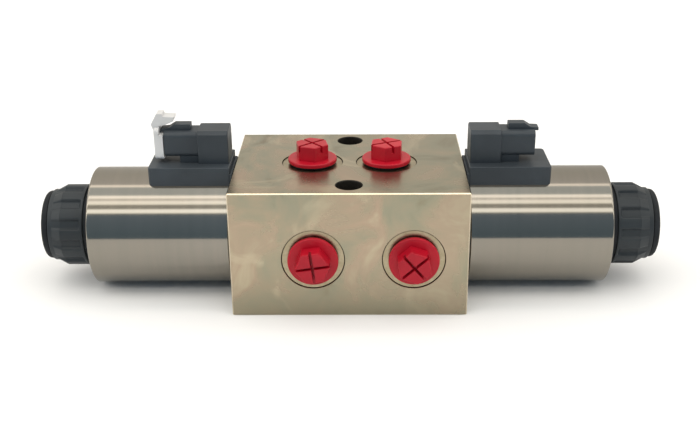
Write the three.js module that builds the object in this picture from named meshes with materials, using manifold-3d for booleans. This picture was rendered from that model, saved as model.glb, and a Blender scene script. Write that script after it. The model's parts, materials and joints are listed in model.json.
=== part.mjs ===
// Solenoid directional valve: a steel in-line valve block with a spring-centred spool, and a push
// solenoid with a threaded core tube, a coil and a lock nut at each end.
//
// Millimetres. The origin is the centre of the block's bottom face. +X runs along the spool, +Y to the
// back of the block and +Z up. Each solenoid is drawn for the +X end, with its X measured outwards from
// the block's centre, and the one at the other end is the same group turned half a turn about Z.

import * as THREE from 'three';
import { mergeVertices } from 'three/addons/utils/BufferGeometryUtils.js';
import Module from 'manifold-3d';

const wasm = await Module();
wasm.setup();

// ---- driving dimensions ----

const FINE = 24; // sides of a large round surface
const MEDIUM = 16; // sides of one inside the valve
const COARSE = 12; // sides of a small one

const BLOCK = { width: 100, depth: 75, height: 56 };
const SPOOL_AXIS_Z = 26.5;

const BOLT_HOLE = { radius: 5.5, chamfer: 0.6, spacing: 56 };

const PORT = { radius: 8.2, depth: 14, spotface: 13.3, step: 0.5, chamfer: 1 };
const FRONT_PORT_Z = 26.2;
const PORTS = [
  { name: 'front_left', face: 'front', x: -15.1, spin: 8 },
  { name: 'front_right', face: 'front', x: 27.05, spin: 41 },
  { name: 'top_left', face: 'top', x: -16.2, spin: 41 },
  { name: 'top_right', face: 'top', x: 16.2, spin: 25 },
];

const PLUG = {
  flange: 10.65, flangeBack: 0.7, flangeTop: 2.3, hexFlats: 13, top: 8.8, shank: 7.8, tail: 11,
};
const PLUG_SLOT = { width: 1.2, depth: 3 };
const PLUG_HOLLOW = { radius: 5.6, end: -1.2 };
const PLUG_SEAL = { inner: 8, outer: 10.4, from: -0.3, to: 0.55, chamfer: 0.25 };

const BORE = 8; // spool bore radius
const CHAMBER = { radius: 11, tankWide: 7, workWide: 7.5 }; // the ring chambers round the bore
const TUBE_SEAT = { radius: 11.2, depth: 38, sealRadius: 12.6, sealDepth: 48.2 };
const DRILLING = { pressure: 3.3, work: 3.7 };
const PRESSURE_X = 0;
const WORK_X = 16.2;
const TANK_X = 27.05;
const GALLERY = { y: 18, radius: 3, plug: 4, plugDepth: 7 };

const TUBE = { radius: 11, inner: 39.5, outer: 124, bore: 8.3, poleFace: 66, pocket: 51.5 };
const TUBE_HEX = { flats: 27, inner: 50.1, outer: 54 };
const SEAT = { inner: 34.7, outer: 35.9, bore: 3.4, radius: 7 }; // spring seat on the spool's spigot
const CENTRING_SPRING = { mean: 5.4, wire: 0.65, turns: 5 };
const ARMATURE = { radius: 8, inner: 70.5, outer: 104 };
const PUSH_PIN = { radius: 2.2, inner: 39.8, outer: 80 };
const OVERRIDE = { radius: 2.2, head: 4, tip: 110.3, neck: 127.5, outer: 129.5 };
const OVERRIDE_SPRING = { mean: 3.3, wire: 0.32, turns: 5, inner: 118.2 };

const COIL = { radius: 26, wall: 2.2, inner: 51.7, outer: 112.7, endWall: 3.2, bore: 11.6 };
const END_PLATE = { inner: 54.7, outer: 57.7, radius: 23.5 };
const BOBBIN = { inner: 58, outer: 109.2, cheek: 2, radius: 22.2, barrel: 13 };
const CLEARANCE = 0.3; // between parts that sit close together without touching
const HOUSING = { inner: 51.5, outer: 86.6, halfDepth: 12.1, top: 57.7 };
const SHROUD = {
  inner: 65.3, mouth: 79.8, halfDepth: 6.3, bottom: 60.9, top: 71.6, wall: 1.4, floor: 68, corner: 2.5,
};
const CONTACT_PIN = { radius: 0.8, offset: 2.4, z: 66.2, inner: 60, outer: 75 };

const NUT = { inner: 114.1, outer: 132.1, radius: 18.15, thread: 11.35, flutes: 12 };
const BOOT_BACK = 132.4;

// ---- materials ----

const finish = (color, roughness, metalness) => (
  new THREE.MeshStandardMaterial({ color, roughness, metalness })
);
const platedSteel = () => finish(0xb1a58f, 0.38, 0.9);
const turnedSteel = () => finish(0xa9a69e, 0.3, 0.95);
const plainSteel = () => finish(0x9a9c9e, 0.35, 0.95);
const springSteel = () => finish(0x8b8f94, 0.3, 0.95);
const copper = () => finish(0xb06a3c, 0.4, 0.9);
const brass = () => finish(0xc9a759, 0.35, 0.9);
const blackPlastic = () => finish(0x3c4348, 0.5, 0);
const blackRubber = () => finish(0x1d1f21, 0.75, 0);
const redPlastic = () => finish(0xbe1a2f, 0.4, 0);
const whitePlastic = () => finish(0xd7d5d2, 0.5, 0);

// ---- solids ----

/** A closed three.js geometry as a solid, its corners merged and its faces turned outwards. */
function solid(geometry) {
  const bare = geometry.clone();
  bare.deleteAttribute('normal');
  bare.deleteAttribute('uv');
  const merged = mergeVertices(bare, 1e-4);
  const position = merged.attributes.position.array;
  const corners = merged.index.array;
  const triangles = [];
  let volume = 0;
  for (let i = 0; i < corners.length; i += 3) {
    const [a, b, c] = corners.slice(i, i + 3);
    if (a === b || b === c || c === a) continue;
    triangles.push([a, b, c]);
    const [p, q, r] = [a, b, c].map((k) => new THREE.Vector3().fromArray(position, 3 * k));
    volume += p.dot(q.cross(r));
  }
  const outward = volume > 0 ? triangles : triangles.map(([a, b, c]) => [a, c, b]);
  return new wasm.Manifold(new wasm.Mesh({
    numProp: 3,
    vertProperties: new Float32Array(position),
    triVerts: new Uint32Array(outward.flat()),
  }));
}

/** A three.js mesh of a solid. */
function mesh(name, body, material) {
  const { vertProperties, triVerts } = body.getMesh();
  const geometry = new THREE.BufferGeometry();
  geometry.setAttribute('position', new THREE.BufferAttribute(new Float32Array(vertProperties), 3));
  geometry.setIndex(new THREE.BufferAttribute(new Uint32Array(triVerts), 1));
  geometry.computeVertexNormals();
  const part = new THREE.Mesh(geometry, material);
  part.name = name;
  return part;
}

const TURN_TO = {
  x: new THREE.Matrix4().makeRotationZ(-Math.PI / 2),
  y: new THREE.Matrix4(),
  z: new THREE.Matrix4().makeRotationX(Math.PI / 2),
};

/** A solid of revolution about a line parallel to an axis, from [place along it, radius] points. */
function turned(profile, { axis = 'x', centre = [0, 0, 0], sides = FINE } = {}) {
  const points = profile.map(([along, radius]) => new THREE.Vector2(radius, along));
  const onAxis = profile[0][1] === 0 && profile.at(-1)[1] === 0;
  if (!onAxis) points.push(points[0].clone());
  const geometry = new THREE.LatheGeometry(points, sides);
  geometry.applyMatrix4(TURN_TO[axis]);
  geometry.translate(...centre);
  return solid(geometry);
}

/** A round bar between two places along an axis. */
function bar(radius, from, to, options) {
  return turned([[from, 0], [from, radius], [to, radius], [to, 0]], options);
}

/** A washer, tube or ring between two radii, with its outer edges cut back by an optional chamfer. */
function ring(inner, outer, from, to, { chamfer = 0, ...options } = {}) {
  const c = chamfer;
  if (c === 0) return turned([[from, inner], [from, outer], [to, outer], [to, inner]], options);
  return turned([
    [from, inner], [from, outer - c], [from + c, outer], [to - c, outer], [to, outer - c], [to, inner],
  ], options);
}

/** A box between its lowest and highest corners. */
function box([x0, y0, z0], [x1, y1, z1]) {
  const geometry = new THREE.BoxGeometry(x1 - x0, y1 - y0, z1 - z0);
  geometry.translate((x0 + x1) / 2, (y0 + y1) / 2, (z0 + z1) / 2);
  return solid(geometry);
}

const OUTLINE_FRAME = {
  x: [[0, 1, 0], [0, 0, 1], [1, 0, 0]], // an outline in (y, z), pushed along +X
  y: [[1, 0, 0], [0, 0, 1], [0, -1, 0]], // an outline in (x, z), pushed along -Y
  z: [[1, 0, 0], [0, 1, 0], [0, 0, 1]], // an outline in (x, y), pushed along +Z
};

/** A flat outline pushed along an axis, between two places on it. */
function prism(outline, axis, from, to) {
  const shape = new THREE.Shape(outline.map(([a, b]) => new THREE.Vector2(a, b)));
  const geometry = new THREE.ExtrudeGeometry(shape, { depth: to - from, bevelEnabled: false });
  const [across, up, along] = OUTLINE_FRAME[axis].map((v) => new THREE.Vector3(...v));
  geometry.applyMatrix4(new THREE.Matrix4().makeBasis(across, up, along));
  const start = axis === 'y' ? to : from;
  geometry.translate(axis === 'x' ? start : 0, axis === 'y' ? start : 0, axis === 'z' ? start : 0);
  return solid(geometry);
}

/** The outline of a rectangle with round corners. */
function roundedRectangle([a0, b0], [a1, b1], radius, steps = 4) {
  const centres = [
    [a1 - radius, b0 + radius],
    [a1 - radius, b1 - radius],
    [a0 + radius, b1 - radius],
    [a0 + radius, b0 + radius],
  ];
  return centres.flatMap(([a, b], corner) => Array.from({ length: steps + 1 }, (_, i) => {
    const angle = (corner - 1 + i / steps) * Math.PI / 2;
    return [a + radius * Math.cos(angle), b + radius * Math.sin(angle)];
  }));
}

/** The outline of a hexagon, with flats square to the second direction. */
function hexagon(acrossFlats, centre = [0, 0]) {
  const corner = acrossFlats / Math.sqrt(3);
  return Array.from({ length: 6 }, (_, i) => {
    const angle = i * Math.PI / 3;
    return [centre[0] + corner * Math.cos(angle), centre[1] + corner * Math.sin(angle)];
  });
}

/** Joins solids, or cuts them from the first one. */
const join = (...bodies) => bodies.reduce((a, b) => a.add(b));
const cut = (body, ...tools) => tools.reduce((a, b) => a.subtract(b), body);

/** A helical spring about the spool axis, with round wire of a few sides. */
function spring({ mean, wire, turns }, from, to) {
  const stepsPerTurn = 8;
  const wireSides = 4;
  const steps = turns * stepsPerTurn;
  const reach = to - from - 2 * wire;
  const path = new THREE.CatmullRomCurve3(Array.from({ length: steps + 1 }, (_, i) => {
    const angle = i / stepsPerTurn * 2 * Math.PI;
    return new THREE.Vector3(
      from + wire + reach * i / steps,
      mean * Math.cos(angle),
      SPOOL_AXIS_Z + mean * Math.sin(angle),
    );
  }));
  const section = new THREE.Shape(Array.from({ length: wireSides }, (_, i) => new THREE.Vector2(
    wire * Math.cos(2 * Math.PI * i / wireSides),
    wire * Math.sin(2 * Math.PI * i / wireSides),
  )));
  return solid(new THREE.ExtrudeGeometry(section, { steps, extrudePath: path, bevelEnabled: false }));
}

const onSpoolAxis = { centre: [0, 0, SPOOL_AXIS_Z] };
const inside = { ...onSpoolAxis, sides: MEDIUM };
const small = { ...onSpoolAxis, sides: COARSE };

// ---- valve block and spool ----

/** One port: spotface, entry chamfer and thread bore, drilled in from a face. */
function portCut(axis, centre, face, inward) {
  const at = (depth) => face + inward * depth;
  return turned([
    [at(-1), 0], [at(-1), PORT.spotface], [at(PORT.step), PORT.spotface],
    [at(PORT.step), PORT.radius + PORT.chamfer], [at(PORT.step + PORT.chamfer), PORT.radius],
    [at(PORT.depth), PORT.radius], [at(PORT.depth), 0],
  ], { axis, centre });
}

function frontPort({ x }) {
  return portCut('y', [x, 0, FRONT_PORT_Z], -BLOCK.depth / 2, 1);
}

function topPort({ x }) {
  return portCut('z', [x, 0, 0], BLOCK.height, -1);
}

/** One vertical bolt hole with both ends chamfered. */
function boltHole(y) {
  const { radius, chamfer } = BOLT_HOLE;
  const top = BLOCK.height;
  return turned([
    [-1, 0], [-1, radius + chamfer], [0, radius + chamfer], [chamfer, radius], [top - chamfer, radius],
    [top, radius + chamfer], [top + 1, radius + chamfer], [top + 1, 0],
  ], { axis: 'z', centre: [0, y, 0] });
}

/** The slanting drilling from the bottom of the pressure port to the middle chamber. */
function pressureDrilling() {
  const start = new THREE.Vector3(PORTS[0].x, -BLOCK.depth / 2 + PORT.depth - 2, FRONT_PORT_Z);
  const end = new THREE.Vector3(PRESSURE_X, -BORE, SPOOL_AXIS_Z);
  const direction = end.clone().sub(start);
  const geometry = new THREE.CylinderGeometry(
    DRILLING.pressure, DRILLING.pressure, direction.length(), COARSE,
  );
  const middle = start.clone().add(end).multiplyScalar(0.5);
  const upright = new THREE.Vector3(0, 1, 0);
  const turn = new THREE.Quaternion().setFromUnitVectors(upright, direction.normalize());
  geometry.applyQuaternion(turn);
  geometry.translate(...middle.toArray());
  return solid(geometry);
}

/** A bore on the spool's axis, from one end face of the block (end is 1 or -1) in to a depth. */
function endBore(end, radius, inner) {
  const places = [inner * end, (BLOCK.width / 2 + 1) * end];
  return bar(radius, Math.min(...places), Math.max(...places), inside);
}

function valveBody() {
  const { width, depth, height } = BLOCK;
  const half = width / 2;
  const block = box([-half, -depth / 2, 0], [half, depth / 2, height]);
  const chamber = (x, wide) => bar(CHAMBER.radius, x - wide / 2, x + wide / 2, small);
  const chambers = [
    ...[PRESSURE_X, -TANK_X, TANK_X].map((x) => chamber(x, CHAMBER.tankWide)),
    ...[-WORK_X, WORK_X].map((x) => chamber(x, CHAMBER.workWide)),
  ];
  const ends = [-1, 1].flatMap((end) => [
    endBore(end, TUBE_SEAT.radius, TUBE_SEAT.depth),
    endBore(end, TUBE_SEAT.sealRadius, TUBE_SEAT.sealDepth),
  ]);
  const ports = PORTS.map((port) => (port.face === 'front' ? frontPort(port) : topPort(port)));
  const portBottom = height - PORT.depth;
  const workDrillings = [-WORK_X, WORK_X].map((x) => bar(DRILLING.work, SPOOL_AXIS_Z + 5, portBottom + 1,
    { axis: 'z', centre: [x, 0, 0], sides: COARSE }));
  const along = { centre: [0, GALLERY.y, SPOOL_AXIS_Z], sides: COARSE };
  const backward = { axis: 'y', centre: [-TANK_X, 0, SPOOL_AXIS_Z], sides: COARSE };
  const gallery = [
    bar(GALLERY.radius, -TANK_X - GALLERY.radius, half + 1, along),
    bar(GALLERY.plug, half - GALLERY.plugDepth, half + 1, along),
    bar(GALLERY.radius, 0, depth / 2 + 1, backward),
    bar(GALLERY.plug, depth / 2 - GALLERY.plugDepth, depth / 2 + 1, backward),
    bar(GALLERY.radius, -depth / 2 + PORT.depth - 2, GALLERY.y,
      { axis: 'y', centre: [TANK_X, 0, SPOOL_AXIS_Z], sides: COARSE }),
  ];
  return cut(
    block,
    bar(BORE, -half + 10, half - 10, inside),
    ...chambers,
    ...ends,
    ...ports,
    ...workDrillings,
    pressureDrilling(),
    ...gallery,
    boltHole(-BOLT_HOLE.spacing / 2),
    boltHole(BOLT_HOLE.spacing / 2),
  );
}

/** The steel plugs that close the two drillings of the tank gallery. */
function galleryPlugs() {
  const long = GALLERY.plugDepth - 0.6;
  const plug = (end, options) => turned([
    [end - long, 0], [end - long, GALLERY.plug - 0.15], [end - 0.6, GALLERY.plug - 0.15],
    [end - 0.3, GALLERY.plug - 0.5], [end - 0.3, 1.6], [end - 2.3, 1.6], [end - 2.3, 0],
  ], { sides: COARSE, ...options });
  return [
    mesh('gallery_plug_back',
      plug(BLOCK.depth / 2, { axis: 'y', centre: [-TANK_X, 0, SPOOL_AXIS_Z] }), plainSteel()),
    mesh('gallery_plug_end',
      plug(BLOCK.width / 2, { centre: [0, GALLERY.y, SPOOL_AXIS_Z] }), plainSteel()),
  ];
}

/** Closed-centre spool: one land over each work chamber and one at each end. */
function spool() {
  const land = BORE - 0.1;
  const groove = 4.6;
  const spigot = 3.2;
  const half = [
    [11.95, groove], [11.95, land], [20.45, land], [20.45, groove],
    [31, groove], [31, land], [34.5, land], [34.5, spigot], [39.3, spigot], [39.3, 0],
  ];
  const other = half.toReversed().map(([x, r]) => [-x, r]);
  return turned([...other, ...half], inside);
}

// ---- port plugs ----

/** A screw plug standing on the plane z = 0, with its head upwards. */
function plugBody() {
  const { flange, flangeBack, flangeTop, hexFlats, top, shank, tail } = PLUG;
  const neck = shank - 0.6;
  const round = turned([
    [-tail, 0], [-tail, shank - 0.8], [-tail + 0.8, shank], [-1.4, shank], [-1, neck], [flangeBack, neck],
    [flangeBack, flange - 0.3], [flangeBack + 0.3, flange], [flangeTop - 0.4, flange],
    [flangeTop, flange - 0.4], [flangeTop, 0],
  ], { axis: 'z', sides: MEDIUM });
  const head = prism(hexagon(hexFlats), 'z', flangeTop - 0.5, top);
  const hollow = bar(PLUG_HOLLOW.radius, -tail - 1, PLUG_HOLLOW.end, { axis: 'z', sides: COARSE });
  const slotHalf = PLUG_SLOT.width / 2;
  const slots = [
    box([-slotHalf, -flange, top - PLUG_SLOT.depth], [slotHalf, flange, top + 1]),
    box([-flange, -slotHalf, top - PLUG_SLOT.depth], [flange, slotHalf, top + 1]),
  ];
  return cut(join(round, head), hollow, ...slots);
}

function plugSeal() {
  const { inner, outer, from, to, chamfer } = PLUG_SEAL;
  return ring(inner, outer, from, to, { axis: 'z', chamfer, sides: MEDIUM });
}

/** One red plug and its seal, standing in their port. */
function portPlug({ name, face, x, spin }) {
  const group = new THREE.Group();
  const plug = mesh(`port_plug_${name}`, plugBody(), redPlastic());
  plug.rotation.z = THREE.MathUtils.degToRad(spin);
  group.add(plug, mesh(`plug_seal_${name}`, plugSeal(), blackRubber()));
  if (face === 'front') {
    group.rotation.x = Math.PI / 2;
    group.position.set(x, -BLOCK.depth / 2, FRONT_PORT_Z);
  } else {
    group.position.set(x, 0, BLOCK.height);
  }
  return group;
}

// ---- solenoid, drawn outwards along +X ----

/** Pressure tube with its pole piece, a threaded inner end and a hexagon flange against the block. */
function coreTube() {
  const { radius, inner, outer, bore, poleFace, pocket } = TUBE;
  const tube = turned([
    [inner, 7.4], [inner, radius - 0.8], [inner + 0.8, radius], [outer - 0.8, radius], [outer, radius - 0.8],
    [outer, bore], [poleFace, bore], [poleFace, 2.6], [pocket, 2.6], [pocket, 7.4],
  ], inside);
  const wrenchFlange = prism(hexagon(TUBE_HEX.flats, [0, SPOOL_AXIS_Z]), 'x', TUBE_HEX.inner, TUBE_HEX.outer);
  return join(tube, cut(wrenchFlange, bar(radius - 1, TUBE_HEX.inner - 1, TUBE_HEX.outer + 1, inside)));
}

function tubePlug() {
  return turned([
    [112.5, 2.5], [112.5, 7.6], [113.1, 8.15], [123.8, 8.15], [123.8, 4.3], [118, 4.3], [118, 2.5],
    [116.7, 2.5], [116.7, 3.7], [115, 3.7], [115, 2.5],
  ], small);
}

function armature() {
  const { radius, inner, outer } = ARMATURE;
  const slug = turned([
    [inner, 2.35], [inner, radius - 0.5], [inner + 0.5, radius], [outer - 0.5, radius],
    [outer, radius - 0.5], [outer, 0], [inner + 11, 0], [inner + 11, 2.35],
  ], inside);
  const oilGrooves = [-1, 1].map((way) => box(
    [inner - 1, Math.min(way * (radius - 1.5), way * (radius + 1)), SPOOL_AXIS_Z - 0.9],
    [outer + 1, Math.max(way * (radius - 1.5), way * (radius + 1)), SPOOL_AXIS_Z + 0.9],
  ));
  return cut(slug, ...oilGrooves);
}

function overridePin() {
  const { radius, head, tip, neck, outer } = OVERRIDE;
  return turned([
    [tip, 0], [tip, radius - 0.4], [tip + 0.4, radius], [neck, radius], [neck, head],
    [outer - 0.6, head], [outer, head - 0.6], [outer, 0],
  ], small);
}

/** Steel can with a closed outer end and a slot on top for the connector's neck. */
function coilShell() {
  const { radius, wall, inner, outer, endWall, bore } = COIL;
  const can = turned([
    [inner, radius - wall], [inner, radius], [outer - 0.5, radius], [outer, radius - 0.5], [outer, bore],
    [outer - endWall, bore], [outer - endWall, radius - wall],
  ], onSpoolAxis);
  return cut(can, box([59.7, -6.3, SPOOL_AXIS_Z], [74.3, 6.3, 60]));
}

function coilEndPlate() {
  return ring(COIL.bore, END_PLATE.radius, END_PLATE.inner, END_PLATE.outer, inside);
}

function coilBobbin() {
  const { inner, outer, cheek, radius, barrel } = BOBBIN;
  return turned([
    [inner, COIL.bore], [inner, radius], [inner + cheek, radius], [inner + cheek, barrel],
    [outer - cheek, barrel], [outer - cheek, radius], [outer, radius], [outer, COIL.bore],
  ], inside);
}

function coilWinding() {
  const { inner, outer, cheek, radius, barrel } = BOBBIN;
  return ring(barrel + CLEARANCE, radius - 0.9, inner + cheek + CLEARANCE, outer - cheek - CLEARANCE, inside);
}

/** The catch on top of the connector: a sloping lug and a lip that sticks out past the mouth. */
function latch() {
  return prism([
    [67.9, 71], [79.8, 71], [79.8, 70.9], [81.5, 70.9], [81.5, 72.3], [77.9, 72.5], [75.3, 74.2],
    [68.5, 74.2],
  ], 'y', -2.5, 2.5);
}

/** End ring, base and connector: one moulding over the coil. */
function connectorHousing() {
  const { inner, outer, halfDepth, top } = HOUSING;
  const { mouth, wall, floor } = SHROUD;
  const low = [-SHROUD.halfDepth, SHROUD.bottom];
  const high = [SHROUD.halfDepth, SHROUD.top];
  const endRing = join(
    ring(16.6, 25.6, 50.4, inner + 0.1, onSpoolAxis),
    ring(16.6, 23.5, inner, 54.4, onSpoolAxis),
    cut(box([50.4, -halfDepth, 45], [inner + 0.1, halfDepth, 54.6]), bar(20, 49, 53, onSpoolAxis)),
  );
  const corner = 2;
  const baseOutline = [
    [inner, -halfDepth], [outer - corner, -halfDepth], [outer - 0.6, -halfDepth + 0.6],
    [outer, -halfDepth + corner], [outer, halfDepth - corner], [outer - 0.6, halfDepth - 0.6],
    [outer - corner, halfDepth], [inner, halfDepth],
  ];
  const base = cut(
    prism(baseOutline, 'z', 44, top),
    bar(COIL.radius + 0.2, inner + 0.11, outer + 1, onSpoolAxis),
  );
  const neck = box([60, -6, 48.9], [74, 6, top - 1]);
  const root = prism([
    [51.9, top - 0.5], [SHROUD.inner, top - 0.5], [SHROUD.inner, 72.2], [53.1, 72.2], [52.3, 71.4],
  ], 'y', -7, 7);
  const rootEdges = prism([
    [-7, top - 1], [7, top - 1], [7, 71.2], [6, 72.2], [-6, 72.2], [-7, 71.2],
  ], 'x', 50, 70);
  const shroud = prism(roundedRectangle(low, high, SHROUD.corner), 'x', SHROUD.inner - 0.5, mouth);
  const cavity = prism(
    roundedRectangle(low.map((v) => v + wall), high.map((v) => v - wall), SHROUD.corner - 1),
    'x', floor, mouth + 1,
  );
  const support = box([65, -3.5, top - 0.5], [73.5, 3.5, SHROUD.bottom + 0.5]);
  const pinHoles = [-1, 1].map((side) => bar(CONTACT_PIN.radius + 0.1, CONTACT_PIN.inner - 0.3, floor + 1,
    { centre: [0, side * CONTACT_PIN.offset, CONTACT_PIN.z], sides: 12 }));
  const moulding = join(endRing, base, neck, root.intersect(rootEdges), shroud, support, latch());
  return cut(moulding, cavity, ...pinHoles);
}

function contactPin(side) {
  const { radius, offset, z, inner, outer } = CONTACT_PIN;
  return turned([
    [inner, 0], [inner, radius], [outer - 0.7, radius], [outer, radius - 0.5], [outer, 0],
  ], { centre: [0, side * offset, z], sides: 12 });
}

/** Fluted plastic nut that clamps the coil, with a socket for the rubber boot. */
function lockNut() {
  const { inner, outer, radius, thread, flutes } = NUT;
  const body = turned([
    [inner, thread + 0.9], [inner, radius - 0.7], [inner + 0.5, radius - 0.05], [115.8, radius - 0.05],
    [115.8, radius - 0.85], [116.4, radius - 0.85], [116.4, radius], [125.8, radius], [130.3, 15.95],
    [outer, 15.95], [outer, 13], [124.8, 13], [124.2, thread], [inner + 0.8, thread],
  ], onSpoolAxis);
  const flute = () => {
    const cutter = new THREE.BoxGeometry(20, 3.6, 2);
    cutter.translate(117.2 + 10, 0, radius - 0.8 + 1);
    return cutter;
  };
  const cutters = Array.from({ length: flutes }, (_, i) => {
    const cutter = flute();
    cutter.rotateX((i + 0.25) * 2 * Math.PI / flutes);
    cutter.translate(0, 0, SPOOL_AXIS_Z);
    return solid(cutter);
  });
  return cut(body, ...cutters);
}

/** Flat rubber ring between the coil and its nut. */
function nutSeal() {
  return ring(12.4, 17, COIL.outer + 0.25, NUT.inner - 0.25, { ...onSpoolAxis, chamfer: 0.2 });
}

/** Rubber boot over the override pin: a rim, a thin dished wall, a push button and a skirt. */
function overrideBoot() {
  const b = BOOT_BACK;
  return turned([
    [b - 2.6, 0], [b - 2.6, 3.6], [b + 0.2, 4], [b + 0.2, 11.4], [b - 5.6, 11.4], [b - 5.6, 12.6],
    [b, 12.6], [b, 15.2], [b + 2, 15.2], [b + 2.9, 14.3], [b + 2.9, 13.4], [b + 1.5, 12.4],
    [b + 1.5, 6.6], [b + 2.3, 5.4], [b + 2.6, 0],
  ], inside);
}

/** Everything on one end of the valve. Its X is measured outwards from the block's centre. */
function solenoid(side) {
  const group = new THREE.Group();
  const add = (name, body, material) => group.add(mesh(`${name}_${side}`, body, material));
  add('spring_seat', ring(SEAT.bore, SEAT.radius, SEAT.inner, SEAT.outer, small), plainSteel());
  add('centring_spring', spring(CENTRING_SPRING, SEAT.outer + 0.2, TUBE.pocket - 0.2), springSteel());
  add('push_pin', bar(PUSH_PIN.radius, PUSH_PIN.inner, PUSH_PIN.outer, small), plainSteel());
  add('armature', armature(), plainSteel());
  add('core_tube', coreTube(), plainSteel());
  add('tube_seal', ring(11.2, 12.4, 48.4, 49.9, { ...inside, chamfer: 0.35 }), blackRubber());
  add('tube_plug', tubePlug(), plainSteel());
  add('override_pin', overridePin(), plainSteel());
  add('override_seal', ring(2.35, 3.6, 115.15, 116.55, { ...small, chamfer: 0.3 }), blackRubber());
  add('override_spring', spring(OVERRIDE_SPRING, OVERRIDE_SPRING.inner, OVERRIDE.neck - 0.2), springSteel());
  add('coil_shell', coilShell(), turnedSteel());
  add('coil_end_plate', coilEndPlate(), plainSteel());
  add('coil_bobbin', coilBobbin(), blackPlastic());
  add('coil_winding', coilWinding(), copper());
  add('connector_housing', connectorHousing(), blackPlastic());
  add('contact_pin_1', contactPin(-1), brass());
  add('contact_pin_2', contactPin(1), brass());
  add('lock_nut', lockNut(), blackPlastic());
  add('nut_seal', nutSeal(), blackRubber());
  add('override_boot', overrideBoot(), blackRubber());
  return group;
}

/** Protective cap on the left connector: a plate over the mouth and an arm hooked over the catch. */
function connectorCap() {
  const plate = prism(
    roundedRectangle([-6, 59.4], [6, 73], 1.5),
    'x', SHROUD.mouth + 0.3, 84,
  );
  const lipSlot = box([79, -3, 70.4], [82, 3, 72.8]);
  const arm = prism([
    [82, 72], [84, 70], [85.4, 74.4], [82.8, 79.1], [80.2, 79], [80.2, 77.9], [75.2, 77.6], [75.7, 75.7],
    [79.4, 74.1], [82, 73.6],
  ], 'y', -3, 3);
  const stem = box([82, -3, 70], [84, 3, 74.2]);
  return cut(join(plate, arm, stem), lipSlot);
}

// ---- the whole valve ----

const valve = new THREE.Group();
valve.add(mesh('valve_body', valveBody(), platedSteel()));
valve.add(mesh('spool', spool(), plainSteel()));
valve.add(...galleryPlugs());
valve.add(...PORTS.map(portPlug));

const right = solenoid('right');
const left = solenoid('left');
left.add(mesh('connector_cap', connectorCap(), whitePlastic()));
left.rotation.z = Math.PI;
valve.add(right, left);

export default valve;
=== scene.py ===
"""Solenoid directional valve: fine shapes, materials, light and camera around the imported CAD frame.

Shapes are drawn in millimetres in the CAD's own frame, and become metres when they turn into meshes:
the origin is under the middle of the block, +X runs along the spool, +Y to the back and +Z up. Each
solenoid is drawn for the +X end, and the other end's is the same shape turned half a turn about Z.
"""

import json
import math

import bmesh
import bpy
from mathutils import Matrix, Vector


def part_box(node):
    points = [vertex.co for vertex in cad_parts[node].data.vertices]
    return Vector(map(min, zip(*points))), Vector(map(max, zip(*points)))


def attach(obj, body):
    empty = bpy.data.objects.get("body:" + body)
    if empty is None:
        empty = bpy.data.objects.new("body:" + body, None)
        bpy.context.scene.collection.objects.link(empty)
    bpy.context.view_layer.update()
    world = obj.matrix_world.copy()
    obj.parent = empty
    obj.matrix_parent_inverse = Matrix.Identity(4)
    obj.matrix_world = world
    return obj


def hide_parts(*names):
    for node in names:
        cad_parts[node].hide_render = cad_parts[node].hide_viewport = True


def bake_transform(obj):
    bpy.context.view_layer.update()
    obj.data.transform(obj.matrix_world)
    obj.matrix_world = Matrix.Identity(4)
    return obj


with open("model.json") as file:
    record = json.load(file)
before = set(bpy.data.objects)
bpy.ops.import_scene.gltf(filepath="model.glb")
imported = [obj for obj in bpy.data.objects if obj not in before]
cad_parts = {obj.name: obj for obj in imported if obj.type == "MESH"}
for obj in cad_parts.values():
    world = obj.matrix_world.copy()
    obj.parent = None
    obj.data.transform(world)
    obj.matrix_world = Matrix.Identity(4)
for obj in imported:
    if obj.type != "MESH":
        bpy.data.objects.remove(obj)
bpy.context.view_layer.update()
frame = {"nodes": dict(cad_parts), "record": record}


MM = 0.001
SIDES = ("right", "left")


# ---- measures, in millimetres, taken from the frame ----


def span(node):
    """Lowest and highest corner of a CAD node."""
    low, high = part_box(node)
    return low / MM, high / MM


def middle(node):
    low, high = span(node)
    return (low + high) / 2


BLOCK_LOW, BLOCK_HIGH = span("valve_body")
AXIS_Z = middle("spool").z
ON_AXIS = (0, 0, AXIS_Z)
EDGE = 0.45  # flat chamfer along the block's edges

PORTS = ("front_left", "front_right", "top_left", "top_right")
PLUG_SPIN = {"front_left": 8, "front_right": 41, "top_left": 41, "top_right": 25}
PORT = {"radius": 8.2, "depth": 14, "cone": 2.4, "spotface": 13.3, "step": 0.5, "chamfer": 1.0, "lip": 0.12}
PLUG = {"flange": 10.65, "under": 0.5, "over": 2.3, "flats": 13, "top": 8.8, "slot": 1.2, "slot_depth": 3}
THREAD = {"pitch": 1.337, "crest": 8.1, "root": 7.2}
PLUG_SEAL = {"inner": 8.0, "outer": 9.9, "low": -0.35, "high": 0.45}
GROOVE = 0.3  # width and depth of the tool mark round a spotface, whose faces are painted shade
BOLT_HOLE = {"radius": 5.5, "chamfer": 0.35, "spacing": 56}
# Radii of the holes inside the block. Crossing drillings differ a little, so that their walls don't coincide.
BORE, CHAMBER, TUBE_SEAT, SEAL_SEAT = 8, 11, 11.2, 12.6
WORK_DRILL, PRESSURE_DRILL, GALLERY, CROSS_DRILL, GALLERY_MOUTH = 3.7, 3.3, 3, 2.9, 4

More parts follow.
